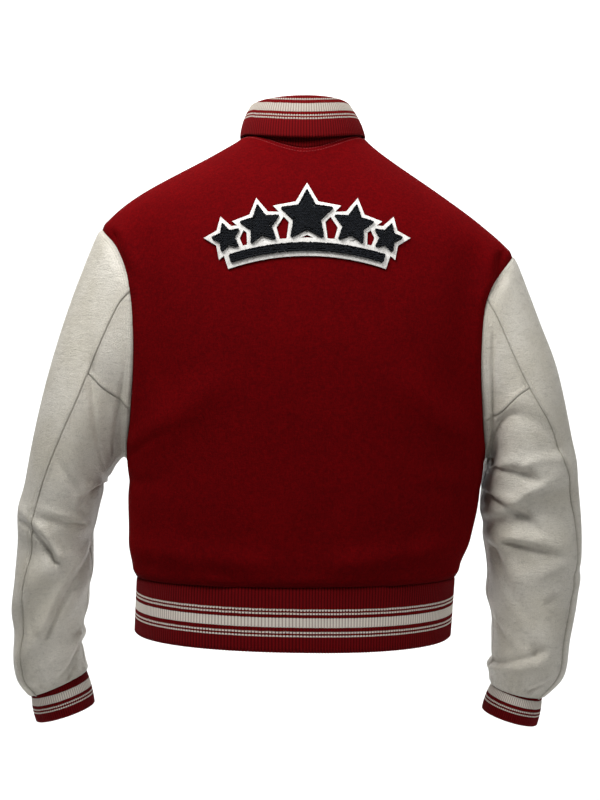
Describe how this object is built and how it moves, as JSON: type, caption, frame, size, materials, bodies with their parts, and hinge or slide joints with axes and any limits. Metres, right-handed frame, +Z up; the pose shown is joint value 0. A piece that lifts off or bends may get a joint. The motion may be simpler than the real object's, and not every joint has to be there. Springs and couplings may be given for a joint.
{
  "type": "varsity jacket",
  "caption": "Worn-shape varsity jacket: wool body, leather set-in sleeves, striped rib collar, cuffs and waistband, snap front, star applique on the back.",
  "frame": {"origin": "middle of the neck opening, level with the neck ends of the shoulder seams, where the wearer's shoulders carry the jacket", "axes": "+Z up, -Y is the front of the jacket and +Y its back, +X is the wearer's left"},
  "size_m": [0.7403, 0.2659, 0.8054],
  "materials": {
    "wool": "napped melton wool, matt",
    "rib": "one by one rib knit with off-white stripes",
    "leather": "soft pebbled off-white leather",
    "felt": "pressed white felt",
    "chenille": "looped black chenille pile",
    "snap": "glossy off-white cap"
  },
  "bodies": {
    "root": {"back": "wool", "front_left": "wool", "front_right": "wool", "waistband": "rib", "collar": "rib", "sleeve_left_top": "leather", "sleeve_left_under": "leather", "sleeve_left_gusset": "leather", "cuff_left": "rib", "sleeve_right_top": "leather", "sleeve_right_under": "leather", "sleeve_right_gusset": "leather", "cuff_right": "rib", "patch_felt": "felt", "patch_bar": "chenille", "patch_star_1": "chenille", "patch_star_2": "chenille", "patch_star_3": "chenille", "patch_star_4": "chenille", "patch_star_5": "chenille", "snap_1": "snap", "snap_2": "snap", "snap_3": "snap", "snap_4": "snap", "snap_5": "snap", "snap_6": "snap", "snap_7": "snap"}
  },
  "joints": []
}
